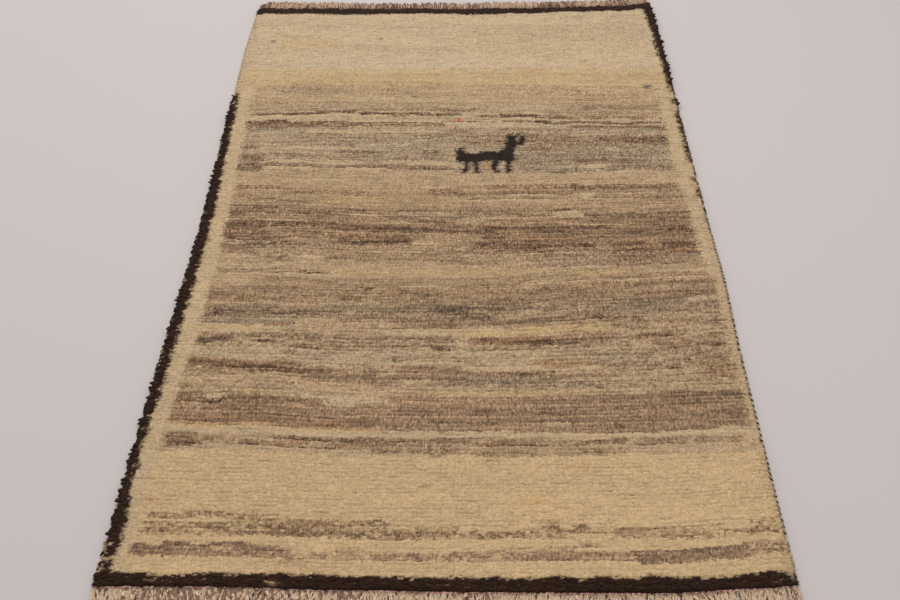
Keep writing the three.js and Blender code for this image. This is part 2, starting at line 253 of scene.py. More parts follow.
# The chart of the stripes: from, to, left, right, wool, and how much of the row is that wool. Later
# stripes lie over earlier ones. The paler far ground comes first, and the rows to the figure's foot.
STRIPES = [
    (60, 345, 40, 1040, "pale", 0.75), (170, 235, 120, 260, "gold", 0.28),
    (120, 260, 600, 1010, "beige", 0.22), (255, 330, 180, 620, "pale", 0.7),
    (325, 400, 60, 1025, "gold", 0.45), (380, 400, 100, 560, "tan", 0.25),
    (398, 507, 82, 1008, "beige", 0.9), (404, 434, 90, 300, "ash", 0.3),
    (419, 423, 375, 425, "taupe", 0.7), (410, 414, 120, 360, "ash", 0.5),
    (415, 425, 750, 850, "taupe", 0.3), (428, 436, 640, 1000, "taupe", 0.35),
    (440, 470, 300, 640, "cream", 0.35), (445, 461, 820, 1003, "tan", 0.7),
    (468, 507, 82, 1003, "ash", 0.4), (470, 491, 830, 1003, "taupe", 0.45),
    (472, 485, 895, 925, "taupe", 0.5), (486, 505, 82, 640, "ash", 0.3),
    (495, 515, 750, 1003, "taupe", 0.4), (494, 501, 370, 410, "brown", 0.5),
    (494, 501, 435, 600, "brown", 0.55), (511, 520, 82, 105, "umber", 0.6),
    (507, 517, 100, 190, "umber", 0.7), (504, 514, 190, 330, "umber", 0.7),
    (507, 516, 330, 412, "umber", 0.7), (511, 526, 404, 442, "brown", 0.75),
    (508, 519, 445, 560, "umber", 0.6), (514, 523, 600, 652, "brown", 0.75),
    (511, 524, 650, 736, "umber", 0.75), (515, 525, 735, 1003, "brown", 0.75),
    (524, 537, 82, 640, "ash", 0.62), (525, 534, 640, 1003, "fawn", 0.85),
    (537, 550, 84, 130, "umber", 0.6), (536, 551, 128, 178, "umber", 0.85),
    (544, 560, 175, 530, "umber", 0.55), (538, 547, 540, 640, "umber", 0.6),
    (533, 541, 655, 722, "brown", 0.75), (533, 543, 718, 767, "umber", 0.85),
    (534, 543, 765, 1003, "brown", 0.8), (534, 543, 868, 962, "umber", 0.5),
    (550, 567, 84, 182, "mauve", 0.8), (552, 563, 198, 284, "mauve", 0.65),
    (558, 572, 280, 530, "taupe", 0.6), (545, 557, 530, 800, "fawn", 0.95),
    (543, 549, 800, 1003, "fawn", 0.9), (549, 582, 800, 1003, "brown", 0.9),
    (566, 684, 85, 548, "ash", 0.92), (570, 585, 222, 252, "cream", 0.8),
    (574, 585, 258, 385, "cream", 0.7), (575, 585, 395, 522, "cream", 0.6),
    (579, 586, 118, 192, "fawn", 0.7), (585, 601, 85, 548, "taupe", 0.3),
    (590, 596, 300, 460, "fawn", 0.4), (600, 604, 250, 545, "taupe", 0.4),
    (608, 614, 90, 400, "taupe", 0.35), (615, 641, 84, 122, "taupe", 0.6),
    (618, 622, 340, 545, "fawn", 0.5), (621, 629, 168, 332, "taupe", 0.7),
    (632, 638, 128, 342, "cream", 0.75), (640, 651, 298, 382, "mauve", 0.5),
    (640, 651, 478, 512, "slate", 0.55), (645, 650, 90, 290, "fawn", 0.5),
    (650, 676, 150, 545, "taupe", 0.3), (655, 660, 140, 400, "taupe", 0.4),
    (664, 670, 150, 420, "fawn", 0.5), (658, 716, 84, 142, "taupe", 0.75),
    (665, 714, 84, 140, "slate", 0.25), (676, 684, 125, 330, "cream", 0.5),
    (678, 686, 330, 552, "cream", 0.6), (685, 700, 148, 232, "mauve", 0.75),
    (692, 703, 233, 302, "mauve", 0.65), (688, 700, 298, 422, "mauve", 0.85),
    (690, 708, 418, 552, "mauve", 0.75), (694, 705, 478, 512, "umber", 0.4),
    (705, 741, 140, 552, "tan", 0.6), (556, 716, 545, 1003, "ash", 0.95),
    (560, 583, 540, 800, "taupe", 0.5), (579, 587, 798, 905, "cream", 0.85),
    (587, 626, 560, 1003, "taupe", 0.65), (594, 614, 912, 962, "umber", 0.65),
    (595, 607, 848, 872, "umber", 0.55), (585, 600, 835, 1003, "brown", 0.6),
    (589, 602, 988, 1003, "umber", 0.6), (606, 619, 872, 1003, "brown", 0.5),
    (622, 628, 690, 762, "cream", 0.85),
    (600, 641, 640, 1003, "grey", 0.45), (627, 647, 700, 752, "mauve", 0.75),
    (632, 639, 868, 902, "cream", 0.8), (640, 716, 690, 1003, "grey", 0.4),
    (669, 687, 798, 872, "mauve", 0.65), (674, 691, 888, 922, "brown", 0.7),
    (655, 716, 560, 700, "grey", 0.4), (700, 713, 870, 1003, "taupe", 0.5),
    (690, 700, 813, 867, "cream", 0.9),
]

# The tan rows, the brown middle, and the ash and beige rows past it.
STRIPES += [
    (715, 768, 84, 1010, "beige", 0.8), (726, 730, 150, 520, "tan", 0.6),
    (720, 724, 600, 900, "fawn", 0.5), (738, 742, 560, 940, "tan", 0.6),
    (745, 750, 198, 302, "fawn", 0.8), (752, 757, 300, 560, "tan", 0.5),
    (764, 850, 86, 1012, "tan", 0.95), (780, 850, 560, 1012, "taupe", 0.22),
    (767, 777, 94, 212, "brown", 0.5), (774, 786, 214, 368, "brown", 0.45),
    (769, 786, 498, 562, "brown", 0.5), (790, 795, 525, 541, "cream", 0.8),
    (796, 803, 458, 522, "taupe", 0.65), (799, 808, 94, 122, "brown", 0.5),
    (804, 812, 128, 200, "taupe", 0.55), (811, 820, 190, 246, "taupe", 0.5),
    (790, 824, 260, 560, "gold", 0.3), (827, 850, 90, 236, "mauve", 0.75),
    (835, 850, 234, 306, "mauve", 0.75), (831, 846, 304, 492, "taupe", 0.95),
    (832, 846, 490, 600, "taupe", 0.55), (840, 851, 438, 562, "fawn", 0.55),
    (850, 874, 88, 600, "tan", 0.7), (852, 872, 90, 560, "taupe", 0.75),
    (849, 859, 90, 127, "brown", 0.7), (866, 870, 448, 502, "umber", 0.5),
    (860, 871, 498, 542, "brown", 0.5), (872, 907, 90, 604, "taupe", 0.93),
    (875, 900, 90, 172, "umber", 0.35), (887, 897, 90, 172, "umber", 0.5),
    (878, 893, 178, 272, "umber", 0.35), (878, 897, 268, 422, "umber", 0.38),
    (882, 901, 378, 522, "umber", 0.38), (884, 898, 428, 462, "umber", 0.35),
    (886, 899, 488, 517, "umber", 0.4), (900, 904, 90, 162, "umber", 0.6),
    (754, 768, 618, 802, "brown", 0.65), (761, 770, 798, 852, "umber", 0.6),
    (757, 773, 848, 1005, "brown", 0.7), (775, 787, 618, 802, "taupe", 0.6),
    (769, 786, 538, 582, "taupe", 0.45), (789, 797, 538, 572, "taupe", 0.45),
    (777, 801, 797, 827, "cream", 0.85), (786, 791, 618, 802, "cream", 0.7),
    (794, 801, 678, 802, "taupe", 0.55), (800, 806, 558, 912, "cream", 0.7),
    (799, 810, 908, 1006, "taupe", 0.55), (806, 832, 600, 1008, "beige", 0.5),
    (837, 847, 538, 582, "brown", 0.5), (838, 847, 608, 680, "brown", 0.65),
    (844, 855, 670, 742, "brown", 0.65), (832, 842, 733, 782, "umber", 0.75),
    (842, 859, 739, 802, "cream", 0.75), (847, 862, 808, 902, "brown", 0.7),
    (849, 872, 898, 1012, "brown", 0.8), (857, 870, 948, 1004, "umber", 0.6),
    (856, 914, 600, 1012, "tan", 0.7), (858, 914, 600, 1012, "taupe", 0.85),
    (881, 890, 598, 852, "umber", 0.5), (877, 881, 748, 902, "gold", 0.5),
    (892, 907, 538, 652, "umber", 0.45), (896, 902, 698, 762, "umber", 0.6),
    (868, 872, 600, 760, "gold", 0.3), (894, 911, 868, 922, "mauve", 0.8),
    (889, 911, 958, 1004, "umber", 0.6), (905, 913, 848, 922, "umber", 0.5),
    (905, 936, 90, 600, "tan", 0.9), (904, 923, 90, 460, "brown", 0.75),
    (905, 931, 92, 200, "mauve", 0.75), (910, 925, 190, 302, "beige", 0.5),
    (908, 912, 200, 282, "umber", 0.5), (915, 920, 298, 425, "brown", 0.6),
    (920, 935, 318, 465, "umber", 0.6), (926, 932, 364, 422, "umber", 0.8),
    (918, 934, 418, 466, "brown", 0.6), (926, 931, 100, 232, "umber", 0.7),
    (905, 917, 448, 502, "brown", 0.55), (927, 931, 464, 522, "gold", 0.85),
    (932, 947, 90, 300, "grey", 0.6), (933, 939, 298, 332, "umber", 0.6),
    (935, 943, 328, 372, "umber", 0.65), (942, 947, 128, 284, "umber", 0.55),
    (935, 957, 300, 562, "taupe", 0.7), (945, 978, 90, 305, "taupe", 0.65),
    (950, 975, 100, 170, "mauve", 0.4), (956, 994, 300, 562, "taupe", 0.72),
    (962, 992, 300, 562, "taupe", 0.3), (956, 961, 368, 482, "cream", 0.55),
    (976, 995, 90, 240, "taupe", 0.5), (977, 984, 103, 167, "cream", 0.85),
    (905, 961, 560, 1012, "taupe", 0.95), (900, 936, 540, 604, "tan", 0.6),
    (912, 919, 598, 652, "umber", 0.75), (905, 926, 638, 802, "rust", 0.3),
    (924, 930, 578, 702, "umber", 0.5), (929, 934, 638, 765, "gold", 0.35),
    (934, 947, 590, 652, "umber", 0.55), (935, 951, 648, 722, "umber", 0.65),
    (935, 959, 698, 802, "mauve", 0.7), (936, 947, 698, 814, "umber", 0.6),
    (953, 958, 712, 737, "umber", 0.7), (939, 949, 788, 813, "umber", 0.6),
    (933, 944, 848, 912, "umber", 0.75), (937, 950, 878, 932, "mauve", 0.6),
    (939, 965, 848, 1007, "brown", 0.6), (939, 961, 948, 1003, "umber", 0.5),
    (959, 965, 948, 1007, "umber", 0.7), (957, 962, 878, 917, "umber", 0.7),
    (960, 1014, 540, 948, "taupe", 0.6), (978, 1016, 940, 1014, "ash", 0.9),
    (960, 985, 850, 950, "umber", 0.4), (962, 975, 950, 1008, "rust", 0.8),
    (972, 979, 950, 1008, "umber", 0.8), (966, 973, 738, 817, "mauve", 0.55),
    (965, 969, 600, 745, "brown", 0.5),
    (968, 1014, 840, 1010, "mauve", 0.72), (984, 997, 538, 642, "grey", 0.7),
    (999, 1013, 638, 702, "brown", 0.45), (984, 1062, 88, 560, "beige", 0.85),
    (1012, 1062, 560, 1022, "tan", 0.8), (984, 990, 98, 202, "tan", 0.8),
    (994, 998, 90, 202, "tan", 0.8), (998, 1011, 90, 230, "cream", 0.4),
    (1003, 1030, 300, 720, "gold", 0.3), (1014, 1021, 90, 232, "taupe", 0.5),
    (1022, 1027, 198, 312, "brown", 0.55), (1028, 1033, 228, 342, "pale", 0.5),
    (1034, 1062, 168, 900, "tan", 0.7), (1034, 1052, 168, 402, "taupe", 0.35),
    (1045, 1056, 278, 362, "taupe", 0.5), (1049, 1056, 328, 372, "fawn", 0.8),
    (1028, 1046, 778, 862, "gold", 0.5), (1034, 1042, 898, 1014, "fawn", 0.6),
    (1044, 1060, 818, 1016, "taupe", 0.6), (1054, 1076, 538, 682, "taupe", 0.6),
]

# The taupe and grey rows, the broken lines and flecks past them, and the near ground with its two
# thin stripes.
STRIPES += [
    (1062, 1116, 90, 1026, "tan", 0.95), (1064, 1113, 90, 600, "taupe", 0.5),
    (1064, 1116, 600, 1026, "taupe", 0.6), (1056, 1063, 447, 512, "cream", 0.85),
    (1061, 1069, 378, 404, "umber", 0.5), (1059, 1064, 698, 1016, "cream", 0.6),
    (1061, 1076, 674, 692, "cream", 0.6), (1069, 1082, 698, 1016, "brown", 0.45),
    (1067, 1086, 438, 522, "brown", 0.5), (1082, 1088, 438, 482, "beige", 0.7),
    (1084, 1099, 338, 382, "brown", 0.55), (1090, 1101, 92, 182, "brown", 0.5),
    (1099, 1108, 498, 522, "brown", 0.6), (1075, 1080, 200, 330, "fawn", 0.4),
    (1083, 1089, 866, 1016, "fawn", 0.5), (1101, 1120, 878, 1024, "mauve", 0.95),
    (1103, 1116, 103, 284, "beige", 0.85), (1103, 1116, 298, 434, "ash", 0.75),
    (1115, 1160, 92, 1028, "tan", 0.95), (1115, 1160, 92, 1028, "grey", 0.55),
    (1115, 1143, 94, 162, "slate", 0.4), (1140, 1145, 92, 132, "umber", 0.4),
    (1122, 1136, 198, 217, "slate", 0.5), (1124, 1136, 224, 284, "slate", 0.45),
    (1131, 1135, 148, 262, "umber", 0.4), (1125, 1143, 288, 352, "mauve", 0.6),
    (1124, 1136, 368, 442, "slate", 0.45), (1116, 1143, 498, 562, "slate", 0.42),
    (1135, 1143, 428, 562, "grey", 0.7), (1140, 1156, 198, 262, "sage", 0.75),
    (1145, 1162, 92, 200, "ash", 0.65), (1145, 1162, 262, 442, "beige", 0.85),
    (1149, 1166, 438, 562, "taupe", 0.8), (1114, 1136, 538, 642, "slate", 0.45),
    (1134, 1150, 558, 622, "slate", 0.45), (1120, 1151, 780, 1028, "grey", 0.5),
    (1119, 1127, 968, 1024, "fawn", 0.7), (1149, 1161, 598, 812, "taupe", 0.65),
    (1151, 1158, 793, 822, "umber", 0.75), (1151, 1155, 818, 862, "umber", 0.5),
    (1157, 1163, 868, 892, "umber", 0.55), (1160, 1188, 90, 1028, "taupe", 0.48),
    (1157, 1163, 208, 257, "rust", 0.6), (1161, 1179, 90, 242, "cream", 0.85),
    (1164, 1174, 90, 200, "gold", 0.5), (1164, 1182, 258, 402, "beige", 0.85),
    (1166, 1188, 418, 832, "cream", 0.75), (1162, 1184, 640, 1028, "taupe", 0.4),
    (1172, 1186, 560, 830, "gold", 0.7), (1164, 1172, 658, 762, "gold", 0.6),
    (1166, 1173, 810, 832, "fawn", 0.9), (1182, 1188, 826, 1016, "cream", 0.7),
    (1184, 1250, 90, 1028, "taupe", 0.46), (1184, 1197, 98, 162, "mauve", 0.75),
    (1195, 1207, 93, 158, "slate", 0.9), (1199, 1204, 198, 243, "umber", 0.65),
    (1188, 1192, 160, 560, "taupe", 0.4), (1196, 1199, 336, 422, "brown", 0.5),
    (1202, 1213, 268, 302, "brown", 0.65), (1203, 1208, 300, 560, "taupe", 0.45),
    (1214, 1223, 328, 382, "brown", 0.5), (1221, 1233, 258, 273, "umber", 0.55),
    (1204, 1216, 513, 532, "umber", 0.55), (1205, 1215, 533, 548, "umber", 0.55),
    (1187, 1203, 588, 732, "brown", 0.95), (1194, 1206, 678, 770, "umber", 0.8),
    (1189, 1202, 743, 832, "mauve", 0.75), (1187, 1198, 868, 932, "brown", 0.75),
    (1194, 1199, 918, 962, "umber", 0.45), (1189, 1198, 988, 1016, "brown", 0.5),
    (1199, 1221, 898, 1018, "taupe", 0.6), (1214, 1219, 978, 1018, "umber", 0.45),
    (1215, 1246, 94, 880, "fawn", 0.45), (1216, 1219, 640, 900, "tan", 0.6),
    (1226, 1230, 560, 880, "tan", 0.6), (1237, 1251, 678, 792, "rust", 0.55),
    (1239, 1262, 958, 1024, "brown", 0.5), (1244, 1264, 88, 284, "brown", 0.85),
    (1256, 1263, 148, 242, "umber", 0.75), (1248, 1324, 280, 1032, "taupe", 0.52),
    (1264, 1324, 86, 284, "taupe", 0.52), (1264, 1316, 86, 1032, "beige", 0.3),
    (1260, 1271, 88, 342, "brown", 0.4), (1259, 1272, 218, 342, "umber", 0.4),
    (1254, 1276, 278, 432, "taupe", 0.4), (1262, 1270, 428, 462, "fawn", 0.75),
    (1247, 1276, 458, 566, "taupe", 0.85), (1269, 1286, 298, 462, "taupe", 0.75),
    (1246, 1253, 566, 704, "cream", 0.9), (1250, 1258, 700, 795, "cream", 0.85),
    (1256, 1267, 566, 722, "brown", 0.75), (1261, 1267, 638, 702, "umber", 0.5),
    (1269, 1277, 638, 672, "umber", 0.55), (1266, 1277, 718, 832, "taupe", 0.8),
    (1268, 1291, 538, 722, "grey", 0.6), (1280, 1296, 738, 802, "grey", 0.6),
    (1257, 1263, 913, 942, "umber", 0.6), (1255, 1286, 973, 1024, "brown", 0.55),
    (1286, 1291, 228, 332, "brown", 0.5), (1286, 1314, 300, 562, "beige", 0.6),
    (1308, 1319, 198, 262, "gold", 0.5), (1300, 1313, 538, 792, "gold", 0.5),
    (1307, 1313, 468, 562, "gold", 0.6), (1304, 1309, 838, 902, "cream", 0.6),
    (1310, 1326, 898, 962, "brown", 0.55), (1319, 1326, 968, 1018, "umber", 0.75),
    (1322, 1327, 838, 902, "fawn", 0.8), (1315, 1323, 298, 442, "fawn", 0.85),
    (1322, 1337, 340, 446, "ash", 0.65), (1317, 1336, 84, 132, "brown", 0.75),
    (1324, 1336, 168, 342, "brown", 0.8),
    (1335, 1387, 84, 446, "taupe", 0.93), (1313, 1393, 444, 1034, "taupe", 0.92),
    (1327, 1343, 138, 172, "umber", 0.5), (1312, 1326, 444, 522, "taupe", 0.6),
    (1341, 1345, 480, 900, "mauve", 0.5), (1351, 1355, 440, 940, "mauve", 0.5),
    (1362, 1366, 90, 440, "brown", 0.35), (1369, 1373, 560, 960, "brown", 0.3),
    (1377, 1381, 600, 1010, "brown", 0.35), (1356, 1359, 150, 420, "tan", 0.5),
    (1366, 1386, 84, 400, "rust", 0.3), (1346, 1349, 84, 260, "brown", 0.4),
    (1338, 1341, 300, 440, "slate", 0.35), (1374, 1381, 698, 744, "fawn", 0.6),
    (1377, 1383, 816, 836, "umber", 0.5), (1339, 1351, 298, 312, "gold", 0.5),
    (1383, 1391, 84, 440, "gold", 0.7), (1384, 1391, 444, 466, "pale", 0.8),
    (1390, 1402, 84, 560, "cream", 1.0), (1387, 1397, 540, 625, "cream", 0.95),
    (1391, 1401, 615, 705, "cream", 0.95), (1396, 1405, 695, 900, "cream", 0.9),
    (1391, 1401, 890, 945, "cream", 0.95), (1396, 1405, 940, 990, "cream", 0.9),
    (1388, 1399, 985, 1036, "cream", 0.9), (1402, 1440, 84, 1036, "beige", 0.6),
    (1404, 1429, 84, 142, "brown", 0.65), (1411, 1415, 86, 130, "umber", 0.5),
    (1419, 1429, 104, 142, "umber", 0.65), (1415, 1420, 150, 215, "brown", 0.55),
    (1408, 1424, 140, 215, "brown", 0.35), (1414, 1426, 213, 242, "brown", 0.75),
    (1414, 1426, 238, 272, "taupe", 0.6), (1402, 1427, 266, 442, "brown", 0.52),
    (1407, 1413, 298, 362, "umber", 0.5), (1403, 1413, 378, 562, "brown", 0.65),
    (1411, 1419, 328, 347, "fawn", 0.8), (1413, 1441, 428, 562, "brown", 0.42),
    (1400, 1417, 538, 642, "taupe", 0.75), (1411, 1421, 598, 702, "brown", 0.65),
    (1402, 1421, 640, 762, "taupe", 0.55), (1404, 1414, 763, 832, "brown", 0.8),
    (1404, 1419, 848, 922, "taupe", 0.8), (1404, 1417, 918, 1014, "taupe", 0.65),
    (1420, 1438, 560, 832, "tan", 0.7), (1424, 1433, 758, 792, "brown", 0.5),
    (1430, 1443, 600, 760, "taupe", 0.3), (1438, 1700, 40, 1060, "sun", 0.95),
    (1557, 1569, 90, 150, "brown", 0.5), (1553, 1566, 145, 222, "brown", 0.55),
    (1553, 1562, 220, 262, "brown", 0.6), (1556, 1562, 260, 300, "taupe", 0.3),
    (1572, 1597, 92, 222, "brown", 0.5), (1562, 1594, 222, 382, "brown", 0.45),
    (1564, 1598, 380, 460, "brown", 0.5), (1576, 1592, 240, 400, "umber", 0.08),
    (1584, 1597, 330, 560, "umber", 0.1), (1582, 1599, 458, 512, "brown", 0.42),
    (1575, 1598, 504, 568, "brown", 0.45), (1584, 1594, 566, 600, "brown", 0.25),
    (1581, 1594, 590, 702, "brown", 0.4), (1569, 1581, 684, 718, "brown", 0.42),
    (1573, 1585, 733, 762, "brown", 0.42), (1584, 1593, 700, 800, "brown", 0.28),
    (1582, 1599, 794, 872, "brown", 0.42), (1580, 1602, 868, 952, "brown", 0.42),
    (1589, 1602, 950, 1020, "brown", 0.42), (1571, 1597, 998, 1040, "brown", 0.45),
    (1612, 1634, 82, 140, "mauve", 0.9), (1610, 1635, 125, 205, "mauve", 0.82),
    (1607, 1622, 200, 256, "mauve", 0.85), (1620, 1634, 200, 262, "mauve", 0.75),
    (1612, 1624, 250, 302, "taupe", 0.6), (1616, 1633, 250, 318, "mauve", 0.6),
    (1620, 1636, 300, 378, "taupe", 0.6), (1640, 1651, 308, 352, "tan", 0.5),
    (1613, 1637, 388, 434, "taupe", 0.3), (1621, 1638, 430, 562, "mauve", 0.5),
    (1616, 1638, 560, 642, "mauve", 0.5), (1622, 1632, 578, 612, "mauve", 0.5),
    (1612, 1623, 638, 688, "taupe", 0.38), (1611, 1625, 688, 732, "taupe", 0.38),
    (1621, 1637, 638, 822, "mauve", 0.75), (1618, 1642, 818, 985, "mauve", 0.8),
    (1614, 1634, 980, 1040, "mauve", 0.5), (1605, 1613, 744, 762, "taupe", 0.65),
    (968, 1012, 700, 842, "grey", 0.6),
]

# The inner sides of the plain frame and the widths of the dark side bands, by place down the rug, and
# the widths of the end bands. The left band misses a row near its end, and its corner is speckled.
FRAME_LEFT = {400: 80, 560: 82, 700: 88, 850: 92, 960: 92, 1060: 92, 1200: 91, 1400: 84, 1650: 84}
FRAME_RIGHT = {
    400: 1012, 560: 1003, 700: 1003, 850: 1012, 960: 1016, 1060: 1025, 1200: 1029, 1400: 1034, 1650: 1038,
}
LEFT_BAND = {
    418: 6, 430: 10, 500: 12, 600: 14, 700: 18, 850: 20, 950: 21, 1200: 19, 1300: 17, 1400: 14,
    1500: 16, 1600: 25, 1690: 25,
}
RIGHT_BAND = {50: 20, 150: 15, 250: 12, 350: 9, 430: 6, 600: 6, 850: 3, 880: 0, 1690: 0}
LEFT_GAP = (1636, 1641)
FAR_BAND = 25
NEAR_BAND = 18.5
RIGHT_WHOLE_TO = 420
LEFT_CORNER = 1600
EDGE_WANDER = {
    "left": {"cell_x": 60, "cell_y": 13, "swing": 3.5, "seed": 1, "loose": 4},
    "right": {"cell_x": 20, "cell_y": 6, "swing": 2, "seed": 2, "loose": 4},
    "far": {"cell_x": 36, "cell_y": 60, "swing": 4, "seed": 3, "loose": 2},
    "near": {"cell_x": 22, "cell_y": 60, "swing": 4.5, "seed": 4, "loose": 1.5},
}

# The animal, knot by knot. Then the odd bright or dark specks of wool: place across and down, half
# width, half height, how much of the colour shows, and the colour.
FIGURE = [
    ".....................#..#...",
    "....................####.##.",
    "....................####.##.",
    "....................####.##.",
    "....................#######.",
    "...................########.",
    "...................#####....",
    ".##................####.....",
    "###..............######.....",
    "####.....##############.....",
    "#######################.....",
    "#######################.....",
    "#######################.....",
    "#######################.....",
    "...##..##.....###..###......",
    "...##..##.....##...##.......",
    "...##..##.....##...##.......",
    "...##..##.....##...##.......",
    "..###..##.....##...##.......",
    "..##...##......##..##.......",
]
FIGURE_PLACE = {"x": 554, "down": 586}
FIGURE_KNOT = {"x": 5.4, "down": 6.6}
SPECKS = [
    (557, 534, 4, 6, 0.95, (190, 60, 52)),
    (391, 186, 4, 4, 0.8, (205, 100, 88)),
    (100, 202, 6, 4, 0.7, (90, 66, 58)),
    (365, 186, 5, 4, 0.6, (110, 84, 72)),
    (985, 402, 9, 7, 0.85, (92, 88, 74)),
    (457, 446, 5, 4, 0.7, (84, 66, 56)),
    (178, 951, 3, 5, 0.8, (62, 44, 36)),
    (181, 1106, 3, 5, 0.8, (62, 44, 36)),
    (213, 987, 5, 5, 0.7, (84, 62, 48)),
    (221, 981, 5, 4, 0.6, (84, 62, 48)),
    (615, 692, 9, 11, 0.6, (182, 142, 84)),
    (647, 695, 6, 9, 0.6, (184, 166, 136)),
    (512, 1498, 8, 3, 0.6, (140, 96, 60)),
    (607, 1450, 3, 3, 0.8, (76, 58, 44)),
    (675, 1530, 18, 9, 0.25, (188, 132, 76)),
    (752, 1463, 10, 8, 0.25, (188, 132, 86)),
    (248, 1480, 5, 12, 0.3, (168, 156, 146)),
    (93, 1533, 9, 4, 0.3, (182, 122, 92)),
    (300, 1680, 8, 3, 0.9, (196, 160, 128)),
]


def read_between(table, place):
    """The value of a table at each place down the rug, read between its entries."""
    return np.interp(place, list(table), list(table.values()))


def striped(x, line_place, in_frame, draw):
    """The cream ground with every stripe of the chart over it. The spots of a tuft share its wool and
    differ in how it was spun; a stripe wanders along its length and is ragged at its two ends."""
    tufts, per_tuft = x.shape
    spot_x, spot_place, in_frame = x.ravel(), line_place.ravel(), in_frame.ravel()
    colour = np.empty((x.size, 3))
    colour[:] = WOOLS["cream"]
    for number, (start, end, left, right, wool, share) in enumerate(STRIPES):
        close = (spot_place > start - STRIPE_REACH["down"]) & (spot_place < end + STRIPE_REACH["down"])
        close &= (spot_x > left - STRIPE_REACH["x"]) & (spot_x < right + STRIPE_REACH["x"])
        spots = np.flatnonzero(close & (in_frame | (start < PLAIN_END)))
        sx, sp = spot_x[spots], spot_place[spots]
        tuft = spots // per_tuft
        ragged_x = sx + stray(STRIPE_RAGGED, draw, tufts)[tuft]
        wandered = sp + wave(STRIPE_WANDER, sx, sp, 70, 30, 100 + number)
        inside = (wandered > start) & (wandered < end) & (ragged_x > left) & (ragged_x < right)
        streak = wave(0.7, sx, sp, 40, 6, 200 + number)
        fleck = FLECK_CONTRAST * min(share, 1 - share) + 0.1
        grain = stray(1.0, draw, tufts)[tuft] + stray(1.5, draw, len(spots))
        mixed = (np.clip(share + fleck * (grain + streak), 0, 1) * inside)[:, None]
        colour[spots] = colour[spots] * (1 - mixed) + np.array(WOOLS[wool], float) * mixed
    return colour.reshape(x.shape + (3,))


def rough_edge(side, x, place, draw):
    """How far a dark edge strays: it waves softly, and each tuft strays by itself."""
    edge = EDGE_WANDER[side]
    soft = wave(2 * edge["swing"], x, place, edge["cell_x"], edge["cell_y"], edge["seed"])
    return soft + stray(edge["loose"], draw, (x.shape[0], 1))


def dark_edging(x, place, down, draw):
    """Which spots are of the near-black edging at the two sides and the two ends."""
    from_left = x - SHEET_MARGIN
    from_right = SHEET_MARGIN + 1000 - x
    right_band = read_between(RIGHT_BAND, place)
    left_edge = read_between(LEFT_BAND, place) + rough_edge("left", x, place, draw)
    dark = (from_left < left_edge) & (place > min(LEFT_BAND))
    dark &= (place < LEFT_GAP[0]) | (place > LEFT_GAP[1])
    glints = smooth_noise(0 * x, place, 50, 4, 7) > np.where(place > LEFT_CORNER, 0.5, 0.94)
    dark &= (from_left > 4) | ~glints
    unbroken = (place < RIGHT_WHOLE_TO) | (smooth_noise(0 * x, place, 50, 24, 9) > 0.55)
    right_edge = right_band + rough_edge("right", x, place, draw)
    dark |= (from_right < right_edge) & (right_band > 0) & unbroken
    dark |= down + rough_edge("far", x, place, draw) < FAR_BAND
    dark |= down + rough_edge("near", x, place, draw) > FIELD_LENGTH - NEAR_BAND
    return dark


def knot_figure(colour, x, place):
    """Knots the animal's dark wool into these colours."""
    for step, knots in enumerate(FIGURE):
        row_place = FIGURE_PLACE["down"] + step * FIGURE_KNOT["down"]
        in_row = abs(place - row_place) < FIGURE_KNOT["down"] / 2 + 0.1
        for column, mark in enumerate(knots):
            if mark == "#":
                column_place = FIGURE_PLACE["x"] + column * FIGURE_KNOT["x"]
                in_column = abs(x - column_place) < FIGURE_KNOT["x"] / 2 + 0.1
                colour[in_row & in_column] = WOOLS["black"]


def knot_colours(across, down, line, draw):
    """The wool at each spot from the chart, in 0 to 255, whether it is the dark edging, and how mixed
    it is. Each tuft is a row of spots."""
    x = 1000 * across + SHEET_MARGIN
    place = down + SHEET_MARGIN
    tuft = (x.shape[0], 1)
    frame_left = read_between(FRAME_LEFT, place) + stray(3, draw, tuft)
    in_frame = (x > frame_left) & (x < read_between(FRAME_RIGHT, place))
    line_place = (line + 0.5) * FIELD_LENGTH / (2 * KNOT_ROWS) + SHEET_MARGIN + 0 * x
    colour = striped(x, line_place, in_frame, draw)

    # Hand-spun wool changes from one batch to the next, so a mixed row is never one colour for long.
    depth = np.clip((WOOLS["cream"][0] - colour[..., 0]) / 60, 0, 1)
    row = np.floor(line / 2)
    batch = smooth_noise(x, row, 230, 1, 301) + 1.5 * smooth_noise(x, line * 1.0, 55, 1, 302)
    colour = colour * (1 + (0.018 + 0.2 * depth) * (batch - BATCH_MIDDLE))[..., None]

    dark = dark_edging(x, place, down, draw)
    black_wool = np.array(WOOLS["dark"], float) * (1 + 0.5 * draw.random(x.shape) ** 2)[..., None]
    colour = np.where(dark[..., None], black_wool, colour)
    knot_figure(colour, x, place)
    for speck_x, speck_place, wide, tall, strength, speck_colour in SPECKS:
        spread = np.hypot((x - speck_x) / wide, (place - speck_place) / tall)
        amount = np.clip(1.5 - spread, 0, 1)[..., None] * strength
        colour = colour * (1 - amount) + np.array(speck_colour, float) * amount

    uneven = 1 + wave(0.03, x, place, 400, 60, 51)
    uneven = uneven + stray(0.07, draw, tuft) + stray(0.07, draw, x.shape)
    mixed = (0.2 + 0.85 * depth) * (1.15 - 0.4 * down / FIELD_LENGTH)
    return colour * uneven[..., None], dark, np.clip(mixed - 0.6 * dark, 0.1, 1)


def daylight_to_linear(colour):
    """Colours seen in 0 to 255 as the linear values that a shader takes."""
    share = np.clip(colour / 255, 0, 1)
    return np.where(share <= 0.04045, share / 12.92, ((share + 0.055) / 1.055) ** 2.4)


def unit_of(points, loops, sizes, spots):
    """The form that a joined mesh repeats: its corners, its faces and their places on its own map."""
    faces = {"loops": np.array(loops), "sizes": np.array(sizes), "spots": np.array(spots)}
    return {"points": points, **faces}


